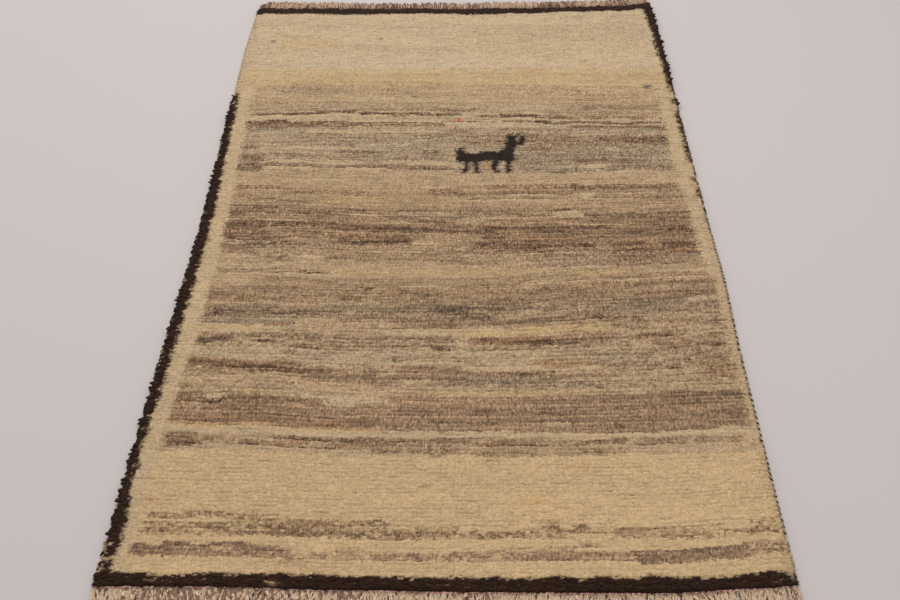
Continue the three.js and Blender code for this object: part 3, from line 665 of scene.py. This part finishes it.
def peg_unit(sides):
    """A closed peg, one high, standing on its foot."""
    shape = bmesh.new()
    bmesh.ops.create_cone(shape, cap_ends=True, segments=sides, radius1=1, radius2=1, depth=1)
    bmesh.ops.translate(shape, verts=shape.verts, vec=(0, 0, 0.5))
    bmesh.ops.rotate(shape, verts=shape.verts, matrix=Matrix.Rotation(math.pi / sides, 3, "Z"))
    shape.verts.index_update()
    points = np.array([vert.co for vert in shape.verts])
    loops, sizes, spots = [], [], []
    for face in shape.faces:
        under = face.normal.z < -0.5
        for vert in face.verts:
            loops.append(vert.index)
            reach = 0.16 if vert.co.z > 0.5 else 0.40
            if under:
                spots.append((0.91 + 0.07 * vert.co.x, 0.09 + 0.07 * vert.co.y))
            else:
                spots.append((0.42 + reach * vert.co.x, 0.56 + reach * vert.co.y))
        sizes.append(len(face.verts))
    shape.free()
    return unit_of(points, loops, sizes, spots)


def joined_mesh(name, unit, points, colours):
    """Many copies of a unit in one mesh. Points are copies by corners by 3, and colours by 4: the
    fourth value is how mixed the wool is."""
    copies, corners = points.shape[:2]
    mesh = bpy.data.meshes.new(name)
    mesh.vertices.add(copies * corners)
    mesh.vertices.foreach_set("co", points.astype(np.float32).ravel())
    loops = (unit["loops"][None] + corners * np.arange(copies)[:, None]).ravel()
    mesh.loops.add(len(loops))
    mesh.loops.foreach_set("vertex_index", loops.astype(np.int32))
    sizes = np.tile(unit["sizes"], copies)
    mesh.polygons.add(len(sizes))
    mesh.polygons.foreach_set("loop_start", (np.cumsum(sizes) - sizes).astype(np.int32))
    mesh.polygons.foreach_set("use_smooth", np.ones(len(sizes), bool))
    mesh.update(calc_edges=True)
    wool = mesh.attributes.new("wool", "FLOAT_COLOR", "POINT")
    wool.data.foreach_set("color", colours.astype(np.float32).ravel())
    cells = math.ceil(math.sqrt(copies))
    corner_cell = np.stack([np.arange(copies) % cells, np.arange(copies) // cells], -1)
    spots = (unit["spots"][None] + corner_cell[:, None]) / cells
    mesh.uv_layers.new(name="OFBake").uv.foreach_set("vector", spots.astype(np.float32).ravel())
    piece = bpy.data.objects.new(name, mesh)
    bpy.context.collection.objects.link(piece)
    return piece


def shader_step(tree, kind, operation=None, values=None):
    """A new step in a shader, with the values of these of its inputs."""
    step = tree.nodes.new(kind)
    if operation:
        step.operation = operation
    for key, value in (values or {}).items():
        step.inputs[key].default_value = value
    return step


def spun_wool_group():
    """Shared by every yarn: locks of lighter and darker fleece in it, and fibres that stand up."""
    group = bpy.data.node_groups.new("spun_wool", "ShaderNodeTree")
    for name, kind in (("Color", "NodeSocketColor"), ("Mixed", "NodeSocketFloat"),
                       ("Lock Scale", "NodeSocketFloat"), ("Fibre Scale", "NodeSocketFloat")):
        group.interface.new_socket(name=name, in_out="INPUT", socket_type=kind)
    group.interface.new_socket(name="Color", in_out="OUTPUT", socket_type="NodeSocketColor")
    group.interface.new_socket(name="Height", in_out="OUTPUT", socket_type="NodeSocketFloat")
    inside = shader_step(group, "NodeGroupInput")
    outside = shader_step(group, "NodeGroupOutput")
    place = shader_step(group, "ShaderNodeTexCoord")
    combed = shader_step(group, "ShaderNodeVectorMath", "MULTIPLY", {1: (1.0, 0.32, 0.6)})
    locks = shader_step(group, "ShaderNodeTexNoise", values={"Detail": 2, "Roughness": 0.6})
    fibres = shader_step(group, "ShaderNodeTexNoise", values={"Detail": 3, "Roughness": 0.6})
    centred = shader_step(group, "ShaderNodeMath", "SUBTRACT", {1: 0.5})
    stronger = shader_step(group, "ShaderNodeMath", "MULTIPLY", {1: LOCK_CONTRAST})
    amount = shader_step(group, "ShaderNodeMath", "MULTIPLY_ADD", {2: 1.0})
    shade = shader_step(group, "ShaderNodeVectorMath", "SCALE")
    for start, end in (
        (place.outputs["Object"], combed.inputs[0]),
        (combed.outputs[0], locks.inputs["Vector"]),
        (inside.outputs["Lock Scale"], locks.inputs["Scale"]),
        (combed.outputs[0], fibres.inputs["Vector"]),
        (inside.outputs["Fibre Scale"], fibres.inputs["Scale"]),
        (locks.outputs["Fac"], centred.inputs[0]),
        (centred.outputs[0], stronger.inputs[0]),
        (stronger.outputs[0], amount.inputs[0]),
        (inside.outputs["Mixed"], amount.inputs[1]),
        (inside.outputs["Color"], shade.inputs[0]),
        (amount.outputs[0], shade.inputs["Scale"]),
        (shade.outputs[0], outside.inputs["Color"]),
        (fibres.outputs["Fac"], outside.inputs["Height"]),
    ):
        group.links.new(start, end)
    return group


spun_wool = spun_wool_group()


def yarn_material(name, roughness, sheen, lock_scale, fibre_scale, bump):
    """A wool yarn whose colour comes with the piece, knot by knot."""
    material = bpy.data.materials.new(name)
    material.use_nodes = True
    tree = material.node_tree
    shader = tree.nodes["Principled BSDF"]
    shader.inputs["Roughness"].default_value = roughness
    shader.inputs["Sheen Weight"].default_value = sheen
    shader.inputs["Sheen Roughness"].default_value = 0.6
    shader.inputs["Specular IOR Level"].default_value = 0.05
    wool = shader_step(tree, "ShaderNodeAttribute")
    wool.attribute_name = "wool"
    spun = shader_step(tree, "ShaderNodeGroup")
    spun.node_tree = spun_wool
    spun.inputs["Lock Scale"].default_value = lock_scale
    spun.inputs["Fibre Scale"].default_value = fibre_scale
    relief = shader_step(tree, "ShaderNodeBump", values={"Strength": bump, "Distance": 1.0 * MM})
    for start, end in (
        (wool.outputs["Color"], spun.inputs["Color"]),
        (wool.outputs["Alpha"], spun.inputs["Mixed"]),
        (spun.outputs["Color"], shader.inputs["Base Color"]),
        (spun.outputs["Height"], relief.inputs["Height"]),
        (relief.outputs["Normal"], shader.inputs["Normal"]),
    ):
        tree.links.new(start, end)
    return material


pile_wool = yarn_material(
    "pile_wool", roughness=0.95, sheen=0.04, lock_scale=420, fibre_scale=560, bump=1.0)


def tuft_leans(column, line, down, x, y, shaggy, draw):
    """How far each tuft's tip leans to the right and to the far end, and how much of a rim tuft it is.
    At the rim they lean out over the edge, in locks, and the dark edging is longer and wilder."""
    count = len(column)
    lean_x = stray(1.0 + 1.8 * shaggy, draw, count) + wave(2.4, x, y, 13, 11, 33)
    lean_y = stray(1.0 + 2.4 * shaggy, draw, count) + wave(2.6, x, y, 15, 9, 34)
    lean_y = lean_y - 1.0 - 0.8 * shaggy
    lock = smooth_noise(0 * y, y, 9, 6, 31) * 0.5 + 0.5 * draw.random(count)
    end_lock = smooth_noise(x, 0 * x, 11, 9, 32) * 0.6 + 0.4 * draw.random(count)
    left_rim = np.clip(1 - column / 3, 0, 1)
    right_rim = np.clip(1 - (KNOT_COLUMNS - 1 - column) / 2, 0, 1)
    near_rim = np.clip(1 - (2 * KNOT_ROWS - 1 - line) / 4, 0, 1)
    far_rim = np.clip(1 - line / 3, 0, 1)
    spike = (1 + 3 * shaggy) * np.clip(2.4 * lock - 0.9, 0, 1)
    wild = shaggy * (down < RIGHT_WILD_TO)
    lean_x += right_rim * (2.7 * spike * wild - 1.2 * (1 - wild))
    lean_x -= left_rim * (0.2 + np.where(down > LEFT_CORNER, 1.2, 2.2) * spike)
    lean_y += far_rim * (1 + 6 * end_lock) - near_rim * (0.5 + 1.5 * end_lock)
    lean_y -= left_rim * 5 * lock * shaggy
    return lean_x, lean_y, np.maximum.reduce([left_rim, right_rim, near_rim, 0.4 * far_rim])


def pile_tufts():
    """Corners and colours of every tuft, column by column across the rug."""
    draw = np.random.default_rng(11)
    column, line = np.meshgrid(np.arange(KNOT_COLUMNS), np.arange(2 * KNOT_ROWS), indexing="ij")
    column, line = column.ravel(), line.ravel()
    row = line // 2
    near_line = line % 2
    row_pitch = FIELD_LENGTH / KNOT_ROWS
    knot_width = 1000 / KNOT_COLUMNS
    count = len(column)

    across = (column + 0.5 + stray(0.7, draw, count)) / KNOT_COLUMNS
    across = np.clip(across, 0.4 / KNOT_COLUMNS, 1 - 0.4 / KNOT_COLUMNS)
    down = (row + 0.5) * row_pitch + (near_line - 0.5) * LINE_SPACING * row_pitch
    down = np.clip(down + stray(1.1, draw, count), END_INSET, FIELD_LENGTH - END_INSET)
    x, y = field_place(across, down)

    # Rows part here and there, so the near line of a knot's tufts is thinner and dips, and its colour
    # is darkened with painted shade into a short dark dash, deeper where the wool is streaked.
    parting = np.clip(wave(3.0, x, row * 10.0, 26, 6, 21), 0, 1)
    top = pile_height(x, y) + stray(0.6, draw, count)
    half_x = knot_width * (0.52 + 0.14 * draw.random(count))
    half_y = row_pitch / 4 * (0.92 + 0.26 * draw.random(count)) * (1 - 0.25 * parting * near_line)

    # The unit's corners are the foot's four and then the tip's four.
    unit = peg_unit(4)
    corner = unit["points"]
    tip = corner[:, 2] > 0.5
    turn = stray(0.8, draw, count)
    uneven = 1 + stray(0.25, draw, (count, len(corner)))
    width = np.where(tip, 1.0, FOOT_SPREAD)[None] * uneven * math.sqrt(2)
    px = corner[None, :, 0] * half_x[:, None] * width
    py = corner[None, :, 1] * half_y[:, None] * width
    px, py = turned(px, py, turn)

    # One colour for each corner of the tip; the foot is deep in shade.
    spot_across = across[:, None] + px[:, tip] / 1000
    spot_down = down[:, None] - py[:, tip]
    seen, dark, mixed = knot_colours(spot_across, spot_down, line[:, None], draw)
    colours = np.empty((count, len(corner), 4))
    streaked = mixed.mean(1)
    top = top - (0.05 + (0.35 + 0.6 * streaked) * parting) * near_line
    # Painted shade: the near line of every row is darkened a little, and much more where the rows part.
    lit = 1 - (0.035 * streaked + (0.06 + 0.22 * streaked) * parting) * near_line
    colours[:, tip, :3] = daylight_to_linear(seen * lit[:, None, None])
    colours[:, ~tip, :3] = colours[:, tip, :3].mean(1)[:, None] * FOOT_SHADE
    colours[..., 3] = streaked[:, None]
    shaggy = dark.mean(1)

    lean_x, lean_y, rim = tuft_leans(column, line, down, x, y, shaggy, draw)
    top = top - rim * (1.0 + 1.8 * draw.random(count)) + stray(0.8 * shaggy, draw, count)
    points = np.empty((count, len(corner), 3))
    points[..., 0] = (x + drawn_in(across, down))[:, None] + px + tip * lean_x[:, None]
    points[..., 1] = y[:, None] + py + tip * lean_y[:, None]
    foot = np.where((rim > 0) | (shaggy > 0), RIM_FOOT, INNER_FOOT)[:, None]
    ragged_tip = stray((0.5 + 0.7 * shaggy)[:, None], draw, (count, len(corner)))
    points[..., 2] = foot + tip * (top[:, None] - foot + ragged_tip)
    return unit, points * MM, colours, column


tuft, tuft_points, tuft_colours, tuft_columns = pile_tufts()
pile_pieces = []
for number in range(PILE_PIECES):
    first = round(number * KNOT_COLUMNS / PILE_PIECES)
    last = round((number + 1) * KNOT_COLUMNS / PILE_PIECES)
    chosen = (tuft_columns >= first) & (tuft_columns < last)
    lane = joined_mesh(f"pile_lane_{number + 1}", tuft, tuft_points[chosen], tuft_colours[chosen])
    lane.data.materials.append(pile_wool)
    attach(lane, "root")
    pile_pieces.append(lane)

# The ground weave: wool warps and wefts beaten into a flat cloth that carries the knots. From below
# it shows the knots' backs in the field's colours.
WEAVE_CELLS_ACROSS = 60
WEAVE_CELLS_ALONG = 84
WEAVE_SHADE = 0.75

weave_shape = bmesh.new()
bmesh.ops.create_grid(
    weave_shape, x_segments=WEAVE_CELLS_ACROSS, y_segments=WEAVE_CELLS_ALONG, size=0.5)
roots = bmesh.ops.extrude_face_region(weave_shape, geom=weave_shape.faces[:])["geom"]
roots = [item for item in roots if isinstance(item, bmesh.types.BMVert)]
bmesh.ops.translate(weave_shape, verts=roots, vec=(0, 0, 1))
bmesh.ops.recalc_face_normals(weave_shape, faces=weave_shape.faces)
weave_mesh = bpy.data.meshes.new("ground_weave")
weave_shape.to_mesh(weave_mesh)
weave_shape.free()
weave_points = np.array([vert.co for vert in weave_mesh.vertices])
weave_across = weave_points[:, 0] + 0.5
weave_down = (0.5 - weave_points[:, 1]) * FIELD_LENGTH
weave_x, weave_y = field_place(weave_across, weave_down)
weave_x = weave_x + drawn_in(weave_across, weave_down)
weave_place = np.stack([weave_x, weave_y, weave_points[:, 2] * ROOTS_TOP], -1) * MM
weave_mesh.vertices.foreach_set("co", weave_place.astype(np.float32).ravel())
weave_line = np.floor(weave_down / FIELD_LENGTH * 2 * KNOT_ROWS)
weave_seen, _, weave_mixed = knot_colours(
    weave_across[:, None], weave_down[:, None], weave_line[:, None], np.random.default_rng(12))
weave_rgba = np.ones((len(weave_mesh.vertices), 4), np.float32)
# Painted shade: the weave's colours are darkened all over by WEAVE_SHADE, for the shade it lies in deep
# under the tufts.
weave_rgba[:, :3] = daylight_to_linear(weave_seen[:, 0]) * WEAVE_SHADE
weave_rgba[:, 3] = weave_mixed[:, 0]
weave_wool = weave_mesh.attributes.new("wool", "FLOAT_COLOR", "POINT")
weave_wool.data.foreach_set("color", weave_rgba.ravel())
ground_weave = bpy.data.objects.new("ground_weave", weave_mesh)
bpy.context.collection.objects.link(ground_weave)
weave_yarn = yarn_material(
    "weave_wool", roughness=0.95, sheen=0.05, lock_scale=330, fibre_scale=500, bump=0.8)
weave_mesh.materials.append(weave_yarn)
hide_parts("knotted_field")
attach(ground_weave, "root")

# The selvedges: a cord of bundled warps down each long side, overcast with yarn. The left one is pale
# and plain along the far quarter, then dark with a few cream wraps that lean out, by turns only at the
# near end. The right one is dark at the far end, then dashed, then cream with a dark wrap in three.
CORD_RADIUS = 3.3
CORD_GAP = 0.35
FAR_QUARTER = 385
RIGHT_DASHED_TO = 860
RIGHT_PLAIN_FROM = 1560
LEFT_BY_TURNS_FROM = 1585
YARN_MIXED = 0.4


def bead_unit(sides):
    """A closed bead of radius one, its two halves laid out as two discs of its own map."""
    shape = bmesh.new()
    bmesh.ops.create_uvsphere(shape, u_segments=sides, v_segments=4, radius=1)
    shape.verts.index_update()
    points = np.array([vert.co for vert in shape.verts])
    loops, sizes, spots = [], [], []
    for face in shape.faces:
        upper = face.calc_center_median().z > 0
        for vert in face.verts:
            loops.append(vert.index)
            reach = 0.23 * (math.acos(max(-1, min(1, abs(vert.co.z)))) / (math.pi / 2))
            turn = math.atan2(vert.co.y, vert.co.x)
            middle = 0.25 if upper else 0.75
            spots.append((middle + reach * math.cos(turn), 0.5 + 1.8 * reach * math.sin(turn)))
        sizes.append(len(face.verts))
    shape.free()
    return unit_of(points, loops, sizes, spots)


def placed_beads(corner, x, y, height, halves, turn):
    """A bead at each place, with its own half length, width and depth, turned by its own angle."""
    px, py = turned(corner[None, :, 0] * halves[0], corner[None, :, 1] * halves[1], turn)
    pz = height + corner[None, :, 2] * halves[2]
    return np.stack(np.broadcast_arrays(x[:, None] + px, y[:, None] + py, pz), -1)


def yarn_colours(seen, corners):
    """One colour for all the corners of each copy, spun of lightly mixed wool."""
    colours = np.full((len(seen), corners, 4), YARN_MIXED)
    colours[..., :3] = daylight_to_linear(seen)[:, None]
    return colours


def wrapped_cord(name, outward, gap, wrap_pitch, thinner, longer, lean, pick_wool, seed):
    """A row of leaning wraps along one long side. Every second one may be thinner, and each may be
    longer by up to this share; the plain far quarter on the left is more even."""
    draw = np.random.default_rng(seed)
    count = round(FIELD_LENGTH / wrap_pitch)
    down = (np.arange(count) + 0.5) * FIELD_LENGTH / count
    edge_across = 0.0 if outward < 0 else 1.0
    x, y = field_place(np.full(count, edge_across), down)
    x = x + drawn_in(edge_across, down)
    unit = bead_unit(8)
    picked = [pick_wool(number, down[number], draw) for number in range(count)]
    bold = np.where(np.array(picked) == "dark", 1.08, 0.9) if outward > 0 else np.ones(count)
    turn = lean + stray(0.3, draw, count)
    even = (outward < 0) & (down < FAR_QUARTER)
    longer = longer * np.where(even, 0.15, 1.0)
    reach = CORD_RADIUS * (1.0 + longer * draw.random(count)) * bold
    slim = np.where((np.arange(count) % 2 == 1) & ~even, thinner, 1.0)
    deep = CORD_RADIUS * (0.96 + 0.04 * draw.random(count)) * bold
    halves = [half[:, None] for half in (reach / np.cos(turn), wrap_pitch * 0.66 * slim, deep)]
    middle = x + outward * (gap + reach)
    points = placed_beads(unit["points"], middle, y, 1.1 * CORD_RADIUS, halves, turn)
    wools = np.array([WOOLS[wool] for wool in picked], float)
    colours = yarn_colours(wools * (1 + stray(0.16, draw, (count, 1))), len(unit["points"]))
    return joined_mesh(name, unit, points * MM, colours)


def left_wool(number, down, draw):
    """The wool of one wrap of the left cord."""
    if down < FAR_QUARTER:
        return "ash" if draw.random() < 0.3 else "pale"
    if number % 2 and draw.random() < (0.3 if down < LEFT_BY_TURNS_FROM else 0.9):
        return "pale"
    return "dark" if draw.random() < 0.85 else "umber"


def right_wool(number, down, draw):
    """The wool of one wrap of the right cord."""
    if down < FAR_QUARTER:
        return "dark" if draw.random() < 0.8 else "brown"
    if down < RIGHT_DASHED_TO:
        return "dark" if draw.random() < 0.36 else "beige"
    if down < RIGHT_PLAIN_FROM:
        return "dark" if number % 3 == 0 else "pale"
    return "pale"


overcast_yarn = yarn_material(
    "overcast_yarn", roughness=0.9, sheen=0.06, lock_scale=500, fibre_scale=900, bump=0.6)
selvedge_left = wrapped_cord(
    "overcast_left", outward=-1, gap=0.4, wrap_pitch=5.2, thinner=0.6, longer=0.9, lean=0.65,
    pick_wool=left_wool, seed=41)
selvedge_left.data.materials.append(overcast_yarn)
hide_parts("selvedge_left")
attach(selvedge_left, "root")
selvedge_right = wrapped_cord(
    "overcast_right", outward=1, gap=CORD_GAP, wrap_pitch=3.87, thinner=1.0, longer=0.12, lean=-0.3,
    pick_wool=right_wool, seed=42)
selvedge_right.data.materials.append(overcast_yarn)
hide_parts("selvedge_right")
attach(selvedge_right, "root")

# The ends: past the pile a row of twining holds the last weft, pinkish where it catches the light.
# Beyond it the warps, two plies each, cream and reddish brown, loop and lie over one another.
TWINING_GRAINS = 248
TWINING_WOOLS = ((186, 128, 120), (214, 176, 160))
PLY_SIDES = 4
TWIST_LENGTH = 13
FAR_CORNER = 0.022
WARP_ENDS = {
    "near": {
        "outward": -1, "count": 680, "length": 36, "ply": 1.3, "lift": 2.6, "curl": 15, "rings": 6,
        "cream": (198, 172, 144), "brown": (134, 104, 88), "share": 0.34, "spread": 1.3, "seed": 51,
    },
    "far": {
        "outward": 1, "count": 860, "length": 50, "ply": 0.95, "lift": 9.0, "curl": 9, "rings": 4,
        "cream": (190, 161, 133), "brown": (122, 92, 76), "share": 0.54, "spread": 0.4, "seed": 61,
    },
}


def tube_unit(sides, rings):
    """The faces of a closed tube, whose corners go round each ring and then along."""
    loops, sizes, spots = [], [], []
    for ring in range(rings - 1):
        for side in range(sides):
            after = (side + 1) % sides
            here, beyond = ring * sides, (ring + 1) * sides
            loops += [here + side, here + after, beyond + after, beyond + side]
            low, high = 0.05 + 0.75 * ring / (rings - 1), 0.05 + 0.75 * (ring + 1) / (rings - 1)
            from_u, to_u = 0.05 + 0.9 * side / sides, 0.05 + 0.9 * (side + 1) / sides
            spots += [(from_u, low), (to_u, low), (to_u, high), (from_u, high)]
            sizes.append(4)
    start_cap = (0.3, 0, range(sides - 1, -1, -1))
    end_cap = (0.7, (rings - 1) * sides, range(sides))
    for middle, first, order in (start_cap, end_cap):
        for side in order:
            loops.append(first + side)
            turn = 2 * math.pi * side / sides
            spots.append((middle + 0.12 * math.cos(turn), 0.91 + 0.06 * math.sin(turn)))
        sizes.append(sides)
    return unit_of(None, loops, sizes, spots)


def beside_and_over(paths):
    """The level direction across each point of the paths, and the one over it."""
    along = np.gradient(paths, axis=1)
    along /= np.linalg.norm(along, axis=2, keepdims=True)
    beside = np.cross(along, np.array([0.0, 0.0, 1.0]))
    beside /= np.linalg.norm(beside, axis=2, keepdims=True)
    return beside, np.cross(beside, along)


def tube_points(paths, radius, sides):
    """Corners round each path: paths is copies by rings by 3, radius copies by rings."""
    beside, over = beside_and_over(paths)
    turn = 2 * np.pi * (np.arange(sides) + 0.5) / sides
    ring = beside[:, :, None] * np.cos(turn)[:, None] + over[:, :, None] * np.sin(turn)[:, None]
    points = paths[:, :, None] + ring * radius[:, :, None, None]
    return points.reshape(len(paths), -1, 3)


def end_place(across, away, outward):
    """The x and y of a point this far out from the near (-1) or far (1) end of the field."""
    x, y = field_place(across, np.full(np.shape(across), 0.0 if outward > 0 else FIELD_LENGTH))
    return x, y + outward * away


def twined_row(name, outward, seed):
    """The twining: short leaning grains of two yarns by turns, over the foot of the warps."""
    draw = np.random.default_rng(seed)
    count = TWINING_GRAINS
    across = (np.arange(count) + 0.5) / count
    x, y = end_place(across, CORD_GAP + 3.6 + stray(0.5, draw, count), outward)
    unit = bead_unit(6)
    turn = 0.5 + stray(0.25, draw, count)
    points = placed_beads(unit["points"], x, y, 4.4, (3.4, 1.8, 2.0), turn)
    wools = np.array([TWINING_WOOLS[number % 2] for number in range(count)], float)
    colours = yarn_colours(wools * (1 + stray(0.2, draw, (count, 1))), len(unit["points"]))
    return joined_mesh(name, unit, points * MM, colours)


def warp_ends(name, warp):
    """Two-ply warps that grow from under the twining and lie over in groups."""
    outward, ply, seed = warp["outward"], warp["ply"], warp["seed"]
    count, rings = warp["count"], warp["rings"]
    draw = np.random.default_rng(seed)
    across = (np.arange(count) + 0.5 + stray(0.5, draw, count)) / count
    share = np.linspace(0, 1, rings)[None]
    sway = np.sin(2 * np.pi * across / 0.38) + 0.7 * np.sin(2 * np.pi * across / 0.145 + 1)
    lean = 5 * sway + stray(20, draw, count)
    curl = stray(warp["curl"], draw, count)
    reach = warp["length"] * (0.6 + 0.4 * draw.random(count))
    away = 1.5 + reach[:, None] * share
    root_x, root_y = end_place(across, 0, outward)
    x = root_x[:, None] + lean[:, None] * share ** 1.5 + curl[:, None] * np.sin(np.pi * share)
    y = root_y[:, None] + outward * away
    rise = warp["lift"] * (0.4 + 0.6 * draw.random(count))

    # Brown warps come in bunches, and the far end's left corner is all brown. The cream lie over them.
    bunch = smooth_noise(root_x, 0 * root_x, 60, 9, seed + 1) * 0.55
    brown = (bunch + 0.45 * draw.random(count)) < warp["share"]
    brown |= (outward > 0) & (across < FAR_CORNER)
    z = 2.6 + rise[:, None] * np.sin(np.pi * share ** 0.8) + draw.random((count, 1)) * share
    z = np.where(brown[:, None], z, z + 1.6 * share)
    middle = np.stack([x, y, z], -1)
    beside, over = beside_and_over(middle)
    start = 2 * np.pi * draw.random(count)
    twist = start[:, None] + 2 * np.pi * (away / TWIST_LENGTH)
    offset = 0.85 * ply * (beside * np.cos(twist)[..., None] + over * np.sin(twist)[..., None])
    # The brown warps are thicker and lie lower than the cream, filling the gaps under them: partly their
    # own brown wool, partly painted shade between the strands.
    thick = 0.95 + 0.25 * draw.random((count, 1)) + warp["spread"] * brown[:, None]
    radius = ply * (1.0 - 0.2 * share) * thick
    plies = np.concatenate([middle + offset, middle - offset])
    points = tube_points(plies, np.concatenate([radius, radius]), PLY_SIDES)
    points[..., 2] = np.maximum(points[..., 2], 0.05)

    # Half of the brown warps have one cream ply, and all are in shade at the root.
    first = np.where(brown[:, None], warp["brown"], warp["cream"]).astype(float)
    second = np.where((brown & (draw.random(count) < 0.5))[:, None], warp["cream"], first)
    seen = np.concatenate([first, second]) * (1 + stray(0.16, draw, (2 * count, 1)))
    colours = yarn_colours(seen, PLY_SIDES * rings)
    lit = 0.65 + 0.35 * np.clip(share * 3, 0, 1)
    colours[..., :3] *= np.repeat(lit, PLY_SIDES, axis=1)[..., None]
    return joined_mesh(name, tube_unit(PLY_SIDES, rings), points * MM, colours)


warp_yarn = yarn_material(
    "warp_yarn", roughness=0.88, sheen=0.08, lock_scale=600, fibre_scale=1000, bump=0.5)
for end, warp in WARP_ENDS.items():
    strands = warp_ends(f"warp_ends_{end}", warp)
    strands.data.materials.append(warp_yarn)
    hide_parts(f"fringe_{end}")
    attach(strands, "root")
    twining = twined_row(f"twining_{end}", warp["outward"], warp["seed"] + 5)
    twining.data.materials.append(warp_yarn)
    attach(twining, "root")
    pile_pieces += [strands, twining]
